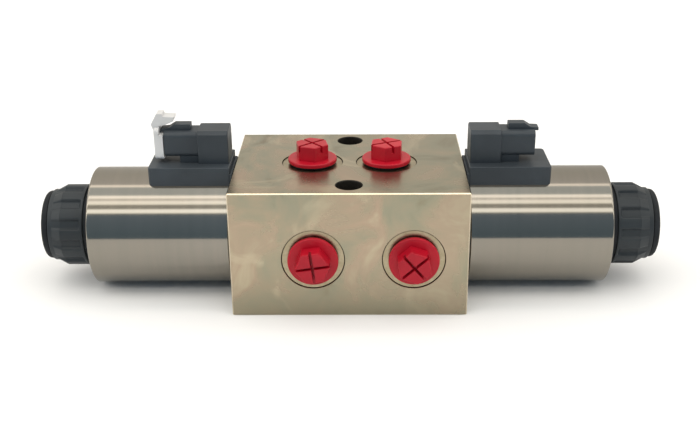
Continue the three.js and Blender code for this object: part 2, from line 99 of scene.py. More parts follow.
COIL = {"wall": 2.2, "bore": 11.6, "end_wall": 3.2}
CONNECTOR = {"half": 12.1, "base_top": 57.7, "base_end": 86.6, "root_top": 72.2}
CONTACT = {"radius": 0.8, "y": 2.4, "z": 66.2}
NUT = {"radius": 18.15, "thread": 11.35, "flutes": 12, "depth": 1.35}
TUBE = {"radius": 11, "bore": 8.3, "pole": 66, "pocket": 51.5, "neck": 2.6, "seal_bore": 7.4, "pitch": 1.5}
SPRINGS = {
    "centring": {"mean": 5.4, "wire": 0.65, "turns": 5},
    "override": {"mean": 3.3, "wire": 0.32, "turns": 5},
}


# ---- shapes ----


def rounded(points, steps=5, closed=True):
    """An outline whose corners, given as (a, b, radius), are arcs. A corner with no radius is sharp."""
    outline = []
    for i, point in enumerate(points):
        here = Vector(point[:2])
        radius = point[2] if len(point) > 2 else 0
        if radius == 0 or (not closed and i in (0, len(points) - 1)):
            outline.append(here)
            continue
        back = (Vector(points[i - 1][:2]) - here).normalized()
        on = (Vector(points[(i + 1) % len(points)][:2]) - here).normalized()
        half = back.angle(on) / 2
        centre = here + (back + on).normalized() * radius / math.sin(half)
        start = (here + back * radius / math.tan(half) - centre).normalized()
        end = (here + on * radius / math.tan(half) - centre).normalized()
        outline += [centre + start.slerp(end, k / steps) * radius for k in range(steps + 1)]
    return outline


TURN_TO = {
    "x": Matrix(((1, 0, 0), (0, 1, 0), (0, 0, 1))),
    "y": Matrix(((0, 0, 1), (1, 0, 0), (0, 1, 0))),
    "z": Matrix(((0, 1, 0), (0, 0, 1), (1, 0, 0))),
}


def turned(outline, axis="x", at=(0, 0, 0), sides=96):
    """A solid of revolution. Outline points are (place along the axis, distance from it)."""
    shape = bmesh.new()
    turn = TURN_TO[axis]
    rings = []
    for along, radius in outline:
        count = sides if radius > 1e-6 else 1
        angles = [2 * math.pi * k / count for k in range(count)]
        rings.append([
            shape.verts.new(turn @ Vector((along, radius * math.cos(a), radius * math.sin(a))) + Vector(at))
            for a in angles
        ])
    for ring, following in zip(rings, rings[1:] + rings[:1]):
        if len(ring) == 1 and len(following) == 1:
            continue
        for k in range(sides):
            corner = [ring[k % len(ring)], ring[(k + 1) % len(ring)]]
            corner += [following[(k + 1) % len(following)], following[k % len(following)]]
            shape.faces.new(dict.fromkeys(corner))
    bmesh.ops.recalc_face_normals(shape, faces=shape.faces)
    return shape


def disc(radius, low, high, edge=0.0):
    """Outline of a plain round bar for turned()."""
    return rounded([(low, 0), (low, radius, edge), (high, radius, edge), (high, 0)], closed=False)


def bevelled(shape, edges, width, steps, material=0):
    bmesh.ops.bevel(
        shape, geom=edges, offset=width, segments=steps, profile=0.5, affect="EDGES", material=material,
    )


PLANES = {
    "x": lambda a, b, along: (along, a, b),
    "y": lambda a, b, along: (a, along, b),
    "z": lambda a, b, along: (a, b, along),
}


def prism(outline, axis, low, high, edge=0.0, steps=2):
    """A flat outline pushed along an axis, with the edges of both ends rounded."""
    shape = bmesh.new()
    place = PLANES[axis]
    ends = [[shape.verts.new(place(a, b, along)) for a, b in outline] for along in (low, high)]
    faces = [shape.faces.new(end) for end in ends]
    for k in range(len(outline)):
        following = (k + 1) % len(outline)
        shape.faces.new((ends[0][k], ends[0][following], ends[1][following], ends[1][k]))
    bmesh.ops.recalc_face_normals(shape, faces=shape.faces)
    if edge:
        rim = list({line for face in faces for line in face.edges})
        bevelled(shape, rim, edge, steps)
    return shape


def box(low, high, edge=0.0, steps=3):
    """A box between two corners with all its edges rounded."""
    shape = bmesh.new()
    bmesh.ops.create_cube(shape, size=1)
    size = Vector(high) - Vector(low)
    for vertex in shape.verts:
        vertex.co = Vector(low) + Vector((vertex.co[i] + 0.5) * size[i] for i in range(3))
    if edge:
        bevelled(shape, shape.edges[:], edge, steps)
    return shape


def helix(profile, low, high, pitch, axis="x", at=(0, 0, 0), per_turn=48, tight=None):
    """A thread or wire: a closed (along, radius) profile carried round an axis along a screw line.

    With tight, the first and last turns rise only that much and the ones between share the rest.
    """
    shape = bmesh.new()
    turn = TURN_TO[axis]
    turns = (high - low) / pitch
    between = (high - low - 2 * tight) / (turns - 2) if tight else pitch
    rings = []
    for step in range(round(per_turn * turns) + 1):
        done = step / per_turn
        angle = 2 * math.pi * done
        shift = low + between * done
        if tight:
            ends = min(done, 1) + max(0, done - turns + 1)
            shift = low + tight * ends + between * (done - ends)
        ring = []
        for along, radius in profile:
            local = Vector((along + shift, radius * math.cos(angle), radius * math.sin(angle)))
            ring.append(shape.verts.new(turn @ local + Vector(at)))
        rings.append(ring)
    for ring, following in zip(rings, rings[1:]):
        for k in range(len(profile)):
            other = (k + 1) % len(profile)
            shape.faces.new((ring[k], ring[other], following[other], following[k]))
    shape.faces.new(rings[0])
    shape.faces.new(rings[-1])
    bmesh.ops.recalc_face_normals(shape, faces=shape.faces)
    return shape


def fitted_thread(low, high, pitch, root, crest, **place):
    """The ridge of a screw thread between two places, a little let into the shank under it."""
    half = pitch * 0.36
    ridge = [(-half, root - 0.15), (-half * 0.2, crest), (half * 0.2, crest), (half, root - 0.15)]
    return helix(ridge, low + half, high - half, pitch, **place)


def hexagon(flats, edge=0.3):
    """Outline of a hexagon with rounded corners, its flats square to the second direction."""
    corner = flats / math.sqrt(3)
    return rounded([
        (corner * math.cos(k * math.pi / 3), corner * math.sin(k * math.pi / 3), edge) for k in range(6)
    ], steps=3)


def rectangle(low, high, radius, steps=6):
    """Outline of a rectangle with round corners."""
    return rounded([
        (high[0], low[1], radius), (high[0], high[1], radius),
        (low[0], high[1], radius), (low[0], low[1], radius),
    ], steps=steps)


# ---- from shapes to pieces ----


def mesh_of(name, shapes, materials):
    """One mesh in metres from shapes in millimetres, whose faces keep the material places they have."""
    whole = bmesh.new()
    for shape in shapes:
        part = bpy.data.meshes.new("part")
        shape.to_mesh(part)
        shape.free()
        whole.from_mesh(part)
        bpy.data.meshes.remove(part)
    mesh = bpy.data.meshes.new(name)
    whole.to_mesh(mesh)
    whole.free()
    mesh.transform(Matrix.Scale(MM, 4))
    for material in materials:
        mesh.materials.append(material)
    return mesh


def carve(mesh, cutters):
    """The mesh less each cutter. Cutters are (shape, its materials), and leave those on what they cut."""
    target = bpy.data.objects.new("carved", mesh)
    bpy.context.scene.collection.objects.link(target)
    tools = []
    for shape, *materials in cutters:
        tool = bpy.data.objects.new("cutter", mesh_of("cutter", [shape], materials))
        bpy.context.scene.collection.objects.link(tool)
        tools.append(tool)
        modifier = target.modifiers.new("cut", "BOOLEAN")
        modifier.object = tool
        modifier.operation = "DIFFERENCE"
        modifier.solver = "EXACT"
        modifier.material_mode = "TRANSFER"
    graph = bpy.context.evaluated_depsgraph_get()
    carved = bpy.data.meshes.new_from_object(target.evaluated_get(graph))
    for thing in [target, *tools]:
        bpy.data.objects.remove(thing)
    cleaned = bmesh.new()
    cleaned.from_mesh(carved)
    bmesh.ops.dissolve_degenerate(cleaned, edges=cleaned.edges, dist=1e-7)
    cleaned.to_mesh(carved)
    cleaned.free()
    return carved


def painted(shape, place):
    """The shape with all its faces given one place in the list of materials."""
    for face in shape.faces:
        face.material_index = place
    return shape


def carved_shape(shape, cutters, material):
    """A shape less each cutter, as a shape in millimetres again."""
    mesh = carve(mesh_of("carved", [shape], [material]), [(cutter, material) for cutter in cutters])
    cut = bmesh.new()
    cut.from_mesh(mesh)
    bmesh.ops.scale(cut, vec=(1 / MM, 1 / MM, 1 / MM), verts=cut.verts)
    return painted(cut, 0)


def piece(name, mesh, body, nodes, side="right", sharp=32):
    """A finished piece: smooth shading, its body and the CAD nodes it replaces.
    """
    if side == "left":
        mesh.transform(Matrix.Rotation(math.pi, 4, "Z"))
    mesh.shade_smooth()
    mesh.set_sharp_from_angle(angle=math.radians(sharp))
    made = bpy.data.objects.new(name, mesh)
    bpy.context.scene.collection.objects.link(made)
    normals = made.modifiers.new("weighted_normals", "WEIGHTED_NORMAL")
    normals.keep_sharp = True
    if body:
        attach(made, body)
    if nodes:
        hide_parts(*nodes)
    return made


# ---- materials ----


def srgb(red, green, blue):
    """A screen colour from 0 to 255 as linear light."""
    return tuple(
        value / 255 / 12.92 if value / 255 <= 0.04045 else ((value / 255 + 0.055) / 1.055) ** 2.4
        for value in (red, green, blue)
    )


def fill_ramp(node, stops):
    """Sets a colour ramp's stops, each a (place from 0 to 1, colour or grey)."""
    elements = node.color_ramp.elements
    while len(elements) < len(stops):
        elements.new(0.5)
    for element, (place, shade) in zip(elements, stops):
        element.position = place
        element.color = (*shade, 1) if isinstance(shade, tuple) else (shade, shade, shade, 1)


class Surface:
    """A Principled material, with short ways to add the procedural nodes that vary it."""

    def __init__(self, name, color, roughness, **values):
        self.material = bpy.data.materials.new(name)
        self.material.use_nodes = True
        self.tree = self.material.node_tree
        self.shader = self.tree.nodes["Principled BSDF"]
        self.set("Base Color", (*color, 1))
        self.set("Roughness", roughness)
        for key, value in values.items():
            self.set(key.replace("_", " ").title().replace("Ior", "IOR"), value)
        self.coordinates = self.node("ShaderNodeTexCoord").outputs["Object"]

    def set(self, socket, value):
        self.shader.inputs[socket].default_value = value

    def node(self, kind, **settings):
        made = self.tree.nodes.new(kind)
        for key, value in settings.items():
            setattr(made, key, value)
        return made

    def link(self, output, target):
        self.tree.links.new(output, target)

    def stretched(self, scale, shift=(0, 0, 0)):
        """The object's coordinates, each multiplied by its own factor per metre."""
        mapping = self.node("ShaderNodeMapping")
        mapping.inputs["Scale"].default_value = scale
        mapping.inputs["Location"].default_value = shift
        self.link(self.coordinates, mapping.inputs["Vector"])
        return mapping.outputs["Vector"]

    def noise(self, scale, detail=3.0, roughness=0.5, distortion=0.0, vector=None):
        made = self.node("ShaderNodeTexNoise")
        made.inputs["Scale"].default_value = scale
        made.inputs["Detail"].default_value = detail
        made.inputs["Roughness"].default_value = roughness
        made.inputs["Distortion"].default_value = distortion
        self.link(vector or self.coordinates, made.inputs["Vector"])
        return made.outputs["Fac"]

    def ramp(self, value, *stops):
        """Colours or greys at places from 0 to 1, each stop a (place, colour or grey)."""
        made = self.node("ShaderNodeValToRGB")
        fill_ramp(made, stops)
        self.link(value, made.inputs["Fac"])
        return made.outputs["Color"]

    def mix(self, factor, first, second):
        made = self.node("ShaderNodeMix", data_type="RGBA")
        factor_in, first_in, second_in = made.inputs[0], made.inputs[6], made.inputs[7]
        for socket, value in ((factor_in, factor), (first_in, first), (second_in, second)):
            if isinstance(value, bpy.types.NodeSocket):
                self.link(value, socket)
            else:
                socket.default_value = (*value, 1) if isinstance(value, tuple) else value
        return made.outputs[2]

    def spread(self, value, low, high, end=1.0):
        """A value from 0 to end moved to another range."""
        made = self.node("ShaderNodeMapRange")
        made.inputs["From Max"].default_value = end
        made.inputs["To Min"].default_value = low
        made.inputs["To Max"].default_value = high
        self.link(value, made.inputs["Value"])
        return made.outputs["Result"]

    def color(self, output):
        self.link(output, self.shader.inputs["Base Color"])

    def roughness(self, value, low, high):
        self.link(self.spread(value, low, high), self.shader.inputs["Roughness"])

    def bump(self, height, strength, distance):
        """A bump, on top of those added before it."""
        made = self.node("ShaderNodeBump")
        made.inputs["Strength"].default_value = strength
        made.inputs["Distance"].default_value = distance
        self.link(height, made.inputs["Height"])
        normal = self.shader.inputs["Normal"]
        if normal.is_linked:
            self.link(normal.links[0].from_socket, made.inputs["Normal"])
        self.link(made.outputs["Normal"], normal)

    def round_the_axis(self, fine, slow):
        """Coordinates for lines turned on a lathe about the spool axis: fine across them, slow along."""
        low = self.stretched((1, 1, 1), (0, 0, -AXIS_Z * MM))
        flat = self.node("ShaderNodeVectorMath", operation="MULTIPLY")
        flat.inputs[1].default_value = (0, 1, 1)
        self.link(low, flat.inputs[0])
        reach = self.node("ShaderNodeVectorMath", operation="LENGTH")
        self.link(flat.outputs["Vector"], reach.inputs[0])
        parts = self.node("ShaderNodeSeparateXYZ")
        self.link(low, parts.inputs[0])
        total = self.node("ShaderNodeMath", operation="ADD")
        self.link(parts.outputs["X"], total.inputs[0])
        self.link(reach.outputs["Value"], total.inputs[1])
        joined = self.node("ShaderNodeCombineXYZ")
        for output, factor, target in (
            (total.outputs[0], fine, "X"), (parts.outputs["Y"], slow, "Y"), (parts.outputs["Z"], slow, "Z"),
        ):
            scaled = self.node("ShaderNodeMath", operation="MULTIPLY")
            scaled.inputs[1].default_value = factor
            self.link(output, scaled.inputs[0])
            self.link(scaled.outputs[0], joined.inputs[target])
        return joined.outputs[0]


def plated_steel():
    """Ground block under a warm plating: greenish and pinkish clouds, pale swooshes, a fine grain, and
    painted shade darkening it towards the bottom.
    """
    made = Surface("plated_steel", srgb(165, 154, 131), 0.34, metallic=1.0)
    clouds = made.ramp(
        made.noise(36, 4, 0.55, 0.9),
        (0.3, srgb(133, 122, 100)), (0.42, srgb(151, 148, 128)), (0.52, srgb(164, 153, 131)),
        (0.61, srgb(175, 155, 134)), (0.72, srgb(189, 176, 150)),
    )
    greenish = made.ramp(made.noise(13, 2, 0.5, 0.4), (0.4, 0.0), (0.65, 0.55))
    toned = made.mix(greenish, clouds, srgb(157, 153, 131))
    elsewhere = made.stretched((1, 1, 1), (0.4, 0.2, 0.1))
    swooshes = made.ramp(made.noise(17, 4, 0.55, 1.5, elsewhere), (0.54, 0.0), (0.59, 0.55), (0.68, 0.0))
    marked = made.mix(swooshes, toned, srgb(192, 180, 154))
    parts = made.node("ShaderNodeSeparateXYZ")
    made.link(made.coordinates, parts.inputs[0])
    # Painted shade: the colour darkens towards the bottom of the block.
    painted_bottom_shade = made.spread(parts.outputs["Z"], 0.45, 0.0, end=24 * MM)
    made.color(made.mix(painted_bottom_shade, marked, srgb(128, 119, 99)))
    made.roughness(made.noise(36, 4, 0.55, 0.9), 0.19, 0.34)
    ground = made.noise(1, 3, 0.6, vector=made.stretched((260, 2600, 2600)))
    made.bump(ground, 0.05, 0.0002)
    made.bump(made.noise(3800, 2, 0.5), 0.03, 0.0001)
    return made.material


def chamfer_highlight_steel():
    """The chamfers round the block, in a lighter, glossier steel than the faces: a painted highlight along
    the edges.
    """
    made = Surface("chamfer_highlight_steel", srgb(205, 192, 168), 0.16, metallic=1.0)
    marks = made.noise(300, 3, 0.6)
    made.color(made.ramp(marks, (0.3, srgb(196, 183, 158)), (0.7, srgb(214, 201, 178))))
    made.roughness(marks, 0.13, 0.22)
    made.bump(made.noise(1500, 2, 0.5), 0.02, 0.0001)
    return made.material


def bored_steel():
    """Freshly cut faces: the spotfaces, chamfers and bores, with the marks of the tool."""
    made = Surface("bored_steel", srgb(170, 158, 132), 0.3, metallic=1.0)
    marks = made.noise(420, 4, 0.6)
    made.color(made.ramp(marks, (0.3, srgb(152, 140, 114)), (0.7, srgb(178, 166, 140))))
    made.roughness(marks, 0.22, 0.4)
    made.bump(made.noise(2600, 2, 0.5), 0.05, 0.0001)
    return made.material


def rim_shade():
    """Painted shade: a near-black colour in the sharp corner round each spotface, and on the walls of the
    through holes.
    """
    made = Surface("rim_shade", srgb(34, 31, 27), 0.6, specular_ior_level=0.2)
    made.color(made.ramp(made.noise(500, 3, 0.6), (0.3, srgb(22, 20, 17)), (0.7, srgb(42, 38, 32))))
    made.roughness(made.noise(300, 2, 0.5), 0.5, 0.7)
    return made.material


def turned_steel():
    """Coil can: turned almost to a mirror, with faint lathe lines and a cloudy film of oil."""
    made = Surface("turned_steel", srgb(142, 137, 128), 0.12, metallic=1.0)
    fine = made.noise(1, 3, 0.65, vector=made.round_the_axis(5200, 24))
    broad = made.noise(1, 4, 0.6, vector=made.round_the_axis(300, 10))
    tone = made.ramp(
        broad, (0.3, srgb(139, 135, 126)), (0.55, srgb(143, 138, 129)), (0.75, srgb(146, 140, 130)),
    )
    film = made.ramp(made.noise(20, 3, 0.5, 0.6), (0.35, 0.0), (0.65, 0.45))
    filmed = made.mix(film, tone, srgb(140, 134, 123))
    specks = made.ramp(made.noise(900, 2, 0.5), (0.76, 0.0), (0.79, 0.45))
    made.color(made.mix(specks, filmed, srgb(104, 96, 82)))
    made.roughness(broad, 0.09, 0.14)
    made.bump(fine, 0.004, 0.00012)
    return made.material


def machined_steel():
    """Inner steel parts: lathe lines round the spool axis under a film of oil."""
    made = Surface("machined_steel", srgb(170, 172, 174), 0.3, metallic=1.0, coat_weight=0.2)
    lines = made.noise(1, 3, 0.6, vector=made.round_the_axis(3800, 30))
    made.color(made.ramp(lines, (0.3, srgb(150, 152, 155)), (0.7, srgb(184, 186, 188))))
    made.roughness(lines, 0.22, 0.38)
    made.bump(lines, 0.06, 0.0001)
    return made.material


def spring_steel():
    """Drawn wire with a blue-grey temper."""
    made = Surface("spring_steel", srgb(140, 144, 152), 0.28, metallic=1.0)
    drawn = made.noise(700, 3, 0.6)
    made.color(made.ramp(drawn, (0.3, srgb(120, 126, 138)), (0.7, srgb(158, 160, 166))))
    made.roughness(drawn, 0.22, 0.36)
    return made.material


def copper_winding():
    """Layers of enamelled wire, one beside the next along the coil."""
    made = Surface("copper_winding", srgb(178, 98, 56), 0.32, metallic=0.9, coat_weight=0.6)
    wires = made.node("ShaderNodeTexWave", wave_type="BANDS", bands_direction="X", wave_profile="SIN")
    wires.inputs["Scale"].default_value = 420
    wires.inputs["Distortion"].default_value = 0.4
    made.link(made.coordinates, wires.inputs["Vector"])
    made.color(made.ramp(wires.outputs["Fac"], (0.0, srgb(96, 44, 22)), (0.6, srgb(190, 106, 60))))
    made.bump(wires.outputs["Fac"], 0.5, 0.0003)
    return made.material


def contact_brass():
    made = Surface("contact_brass", srgb(206, 174, 104), 0.26, metallic=1.0)
    worn = made.noise(1200, 3, 0.6)
    made.color(made.ramp(worn, (0.3, srgb(186, 150, 84)), (0.7, srgb(220, 190, 122))))
    made.roughness(worn, 0.2, 0.34)
    return made.material


def moulded(name, color, low, high, grain=0.12, **values):
    """Moulded plastic: spark-eroded grain, flow marks in the gloss and a slight drift of tone."""
    made = Surface(name, color, (low + high) / 2, **values)
    drift = made.noise(42, 3, 0.5, 0.6)
    darker = tuple(value * 0.82 for value in color)
    lighter = tuple(min(1.0, value * 1.18) for value in color)
    made.color(made.ramp(drift, (0.3, darker), (0.7, lighter)))
    made.roughness(made.noise(260, 4, 0.6), low, high)
    made.bump(made.noise(5200, 2, 0.5), grain, 0.00006)
    made.bump(made.noise(150, 2, 0.5), 0.04, 0.0006)
    return made.material


def rubber():
    """Matte rubber with a dusty bloom."""
    made = Surface("black_rubber", srgb(30, 33, 36), 0.7, specular_ior_level=0.25)
    made.color(made.ramp(made.noise(120, 5, 0.65), (0.4, srgb(24, 27, 30)), (0.75, srgb(38, 41, 45))))
    made.roughness(made.noise(300, 3, 0.6), 0.55, 0.85)
    made.bump(made.noise(4200, 2, 0.5), 0.15, 0.00006)
    return made.material


MATERIALS = {
    "plated_steel": plated_steel(),
    "chamfer_highlight_steel": chamfer_highlight_steel(),
    "bored_steel": bored_steel(),
    "rim_shade": rim_shade(),
    "turned_steel": turned_steel(),
    "plain_steel": machined_steel(),
    "spring_steel": spring_steel(),
    "copper_wire": copper_winding(),
    "contact_brass": contact_brass(),
    "black_plastic": moulded("black_plastic", srgb(45, 50, 53), 0.4, 0.54, specular_ior_level=0.3),
    "housing_plastic": moulded("housing_plastic", srgb(56, 62, 67), 0.4, 0.54, specular_ior_level=0.3),
    "black_rubber": rubber(),
    "red_plastic": moulded("red_plastic", srgb(176, 14, 36), 0.32, 0.42, 0.06, specular_ior_level=0.3),
    "white_plastic": moulded("white_plastic", srgb(205, 204, 203), 0.36, 0.5, specular_ior_level=0.4),
}


# ---- valve block ----


def port_outline():
    """Spotface with a narrow groove round it, entry chamfer and bore of a port, as (depth, radius)."""
    lip, spotface, step, bore = (PORT[key] for key in ("lip", "spotface", "step", "radius"))
    return [
        (-1, 0), (-1, spotface + lip), (0, spotface + lip), (lip, spotface), (step + GROOVE, spotface),
        (step + GROOVE, spotface - GROOVE), (step, spotface - GROOVE), (step, bore + PORT["chamfer"]),
        (step + PORT["chamfer"], bore), (PORT["depth"], bore),
    ]


def port_cutter(name):
    """A cutter for a port, with its groove given the second material, painted shade. A top port runs on into
    its work drilling.
    """
    at = middle(f"port_plug_{name}")
    front = name.startswith("front")
    bottom = PORT["depth"] + PORT["cone"]
    if front:
        outline = [(BLOCK_LOW.y + depth, radius) for depth, radius in port_outline() + [(bottom, 0)]]
        shape = turned(outline, "y", (at.x, 0, at.z), 128)
    else:
        deep = BLOCK_HIGH.z - AXIS_Z - 5
        met = bottom - PORT["cone"] * WORK_DRILL / PORT["radius"]
        drilled = port_outline() + [(met, WORK_DRILL), (deep, WORK_DRILL), (deep, 0)]
        outline = [(BLOCK_HIGH.z - depth, radius) for depth, radius in drilled]
        shape = turned(outline, "z", (at.x, at.y, 0), 128)
    groove_middle = PORT["spotface"] - GROOVE / 2
    for face in shape.faces:
        away = [vertex.co - Vector(at) for vertex in face.verts]
        reach = [math.hypot(v.x, v.z if front else v.y) for v in away]
        if all(abs(radius - groove_middle) < GROOVE / 2 + 0.01 for radius in reach):
            face.material_index = 1
    return shape


def bolt_hole_cutter(y):
    radius, chamfer = BOLT_HOLE["radius"], BOLT_HOLE["chamfer"]
    flare = radius + chamfer + 1
    low, high = BLOCK_LOW.z, BLOCK_HIGH.z
    outline = [
        (low - 1, 0), (low - 1, flare), (low + chamfer, radius), (high - chamfer, radius),
        (high + 1, flare), (high + 1, 0),
    ]
    return turned(outline, "z", (0, y, 0), 96)


def inner_cutters():
    """Spool bore with its ring chambers and the seats of both core tubes, and the oil drillings."""
    end, back = BLOCK_HIGH.x, BLOCK_HIGH.y
    work_x, tank_x = middle("port_plug_top_right").x, middle("port_plug_front_right").x
    gallery_y = middle("gallery_plug_end").y
    mouth_depth, past = 7, 1
    seats = [
        (end + past, 0), (end + past, SEAL_SEAT), (48.2, SEAL_SEAT), (48.2, TUBE_SEAT),
        (38, TUBE_SEAT), (38, BORE),
    ]
    chambers = []
    for x, wide in ((tank_x, 7), (work_x, 7.5), (0, 7), (-work_x, 7.5), (-tank_x, 7)):
        right, left = x + wide / 2, x - wide / 2
        chambers += [(right, BORE), (right, CHAMBER), (left, CHAMBER), (left, BORE)]
    opposite = [(-x, radius) for x, radius in reversed(seats)]
    lengthways = [
        (-tank_x - GALLERY, 0), (-tank_x - GALLERY, GALLERY), (end - mouth_depth, GALLERY),
        (end - mouth_depth, GALLERY_MOUTH), (end + past, GALLERY_MOUTH), (end + past, 0),
    ]
    backwards = [
        (0, 0), (0, CROSS_DRILL), (back - mouth_depth, CROSS_DRILL),
        (back - mouth_depth, GALLERY_MOUTH), (back + past, GALLERY_MOUTH), (back + past, 0),
    ]
    from_port = disc(CROSS_DRILL, BLOCK_LOW.y + PORT["depth"] - 2, gallery_y)
    return [
        turned(seats + chambers + opposite, at=ON_AXIS, sides=64),
        turned(lengthways, "x", (0, gallery_y, AXIS_Z), 32),
        turned(backwards, "y", (-tank_x, 0, AXIS_Z), 36),
        turned(from_port, "y", (tank_x, 0, AXIS_Z), 36),
        pressure_drilling(),
    ]


def pressure_drilling():
    """The slanting hole from the bottom of the pressure port to the middle of the spool bore."""
    port = middle("port_plug_front_left")
    start = Vector((port.x, BLOCK_LOW.y + PORT["depth"] - 2, port.z))
    along = Vector((0, -BORE, AXIS_Z)) - start
    shape = turned(disc(PRESSURE_DRILL, 0, along.length), "x", sides=32)
    turn = Vector((1, 0, 0)).rotation_difference(along).to_matrix().to_4x4()
    bmesh.ops.transform(shape, matrix=Matrix.Translation(start) @ turn, verts=shape.verts)
    return shape


def valve_block():
    plated, bored, rim = (MATERIALS[name] for name in ("plated_steel", "bored_steel", "rim_shade"))
    solid = box(BLOCK_LOW, BLOCK_HIGH)
    # The chamfers get the second material, a painted highlight.
    bevelled(solid, solid.edges[:], EDGE, 1, material=1)
    block = mesh_of("valve_block", [solid], [plated, MATERIALS["chamfer_highlight_steel"]])
    # The ports' grooves and the through holes' walls get rim_shade, painted shade.
    cutters = [(port_cutter(name), bored, rim) for name in PORTS]
    cutters += [(cutter, bored) for cutter in inner_cutters()]
    cutters += [(bolt_hole_cutter(sign * BOLT_HOLE["spacing"] / 2), rim) for sign in (-1, 1)]
    block = carve(block, cutters)
    piece("valve_block", block, "valve", ["valve_body"])


def gallery_plug(name, axis):
    """A small steel plug with a hexagon socket, pressed flush into the end of a drilling."""
    low, high = span(name)
    inner, outer = getattr(low, axis), getattr(high, axis)
    at = (low + high) / 2
    setattr(at, axis, 0)
    body = turned(disc(GALLERY_MOUTH - 0.15, inner, outer, 0.4), axis, at, 48)
    socket = prism(hexagon(3, 0.1), "x", outer - 2.5, outer + 1)
    if axis == "y":
        quarter = Matrix.Rotation(math.pi / 2, 3, "Z")
        bmesh.ops.rotate(socket, verts=socket.verts, cent=(0, 0, 0), matrix=quarter)
    bmesh.ops.translate(socket, verts=socket.verts, vec=at)
    steel = MATERIALS["plain_steel"]
    mesh = carve(mesh_of(name, [body], [steel]), [(socket, steel)])
    piece(f"{name}_fine", mesh, "valve", [name])


# ---- port plugs ----


def plug_shapes():
    """Screw plug standing on z = 0: its hollow shank with the flange, its hexagon head and its thread."""
    neck, hollow, tail, bottom = THREAD["root"], 5.6, -11, -1.2
    under, over, flange = PLUG["under"], PLUG["over"], PLUG["flange"]
    shank = turned(rounded([
        (bottom, 0), (bottom, hollow, 0.4), (tail, hollow, 0.2), (tail, neck - 0.5, 0.2), (tail + 0.7, neck),
        (under, neck, 0.1), (under, flange, 0.35), (over, flange, 0.6), (over, 0),
    ], closed=False), "z", sides=96)
    head = prism(hexagon(PLUG["flats"], 0.6), "z", over - 0.4, PLUG["top"], 0.45, 3)
    thread = fitted_thread(tail + 0.4, bottom, THREAD["pitch"], THREAD["root"], THREAD["crest"], axis="z")
    return shank, head, thread


def cross_slots():
    """Two slots across the head, square to each other."""
    half, reach = PLUG["slot"] / 2, PLUG["flange"]
    low, high = PLUG["top"] - PLUG["slot_depth"], PLUG["top"] + 1
    return [
        box((-half, -reach, low), (half, reach, high)),
        box((-reach, -half, low), (reach, half, high)),
    ]


def port_plug(name):
    red, black = MATERIALS["red_plastic"], MATERIALS["black_rubber"]
    shank, head, thread = plug_shapes()
    plug = mesh_of(f"plug_{name}", [shank, carved_shape(head, cross_slots(), red), thread], [red])
    inner, outer, low, high = (PLUG_SEAL[key] for key in ("inner", "outer", "low", "high"))
    corner = 0.35
    ring = turned(rounded([
        (low, inner, corner), (low, outer, corner), (high, outer, corner), (high, inner, corner),
    ], steps=4), "z", sides=96)
    seal = mesh_of(f"seal_{name}", [ring], [black])
    at = middle(f"port_plug_{name}")
    if name.startswith("front"):
        stand = Matrix.Translation(Vector((at.x, BLOCK_LOW.y, at.z)) * MM)
        stand = stand @ Matrix.Rotation(math.pi / 2, 4, "X")
    else:
        stand = Matrix.Translation(Vector((at.x, at.y, BLOCK_HIGH.z)) * MM)
    plug.transform(stand @ Matrix.Rotation(math.radians(PLUG_SPIN[name]), 4, "Z"))
    seal.transform(stand)
    piece(f"screw_plug_{name}", plug, f"port_plug_{name}", [f"port_plug_{name}"])
    piece(f"plug_ring_{name}", seal, f"plug_seal_{name}", [f"plug_seal_{name}"])


# ---- solenoids ----


def coil_can(side):
    """Steel can of the coil, with a slot on top for the connector's neck."""
    low, high = span("coil_shell_right")
    radius = (high.z - low.z) / 2
    hollow, bore, end_wall = radius - COIL["wall"], COIL["bore"], high.x - COIL["end_wall"]
    outline = rounded([
        (low.x, hollow), (low.x, radius, 0.4), (high.x, radius, 0.9), (high.x, bore, 0.4),
        (end_wall, bore), (end_wall, hollow, 0.5),
    ])
    steel = MATERIALS["turned_steel"]
    can = mesh_of("can", [turned(outline, at=ON_AXIS, sides=160)], [steel])
    neck_slot = box((low.x + 8, -6.3, AXIS_Z), (low.x + 22.6, 6.3, high.z + 8))
    can = carve(can, [(neck_slot, steel)])
    piece(f"coil_can_{side}", can, f"coil_{side}", [f"coil_shell_{side}"], side)


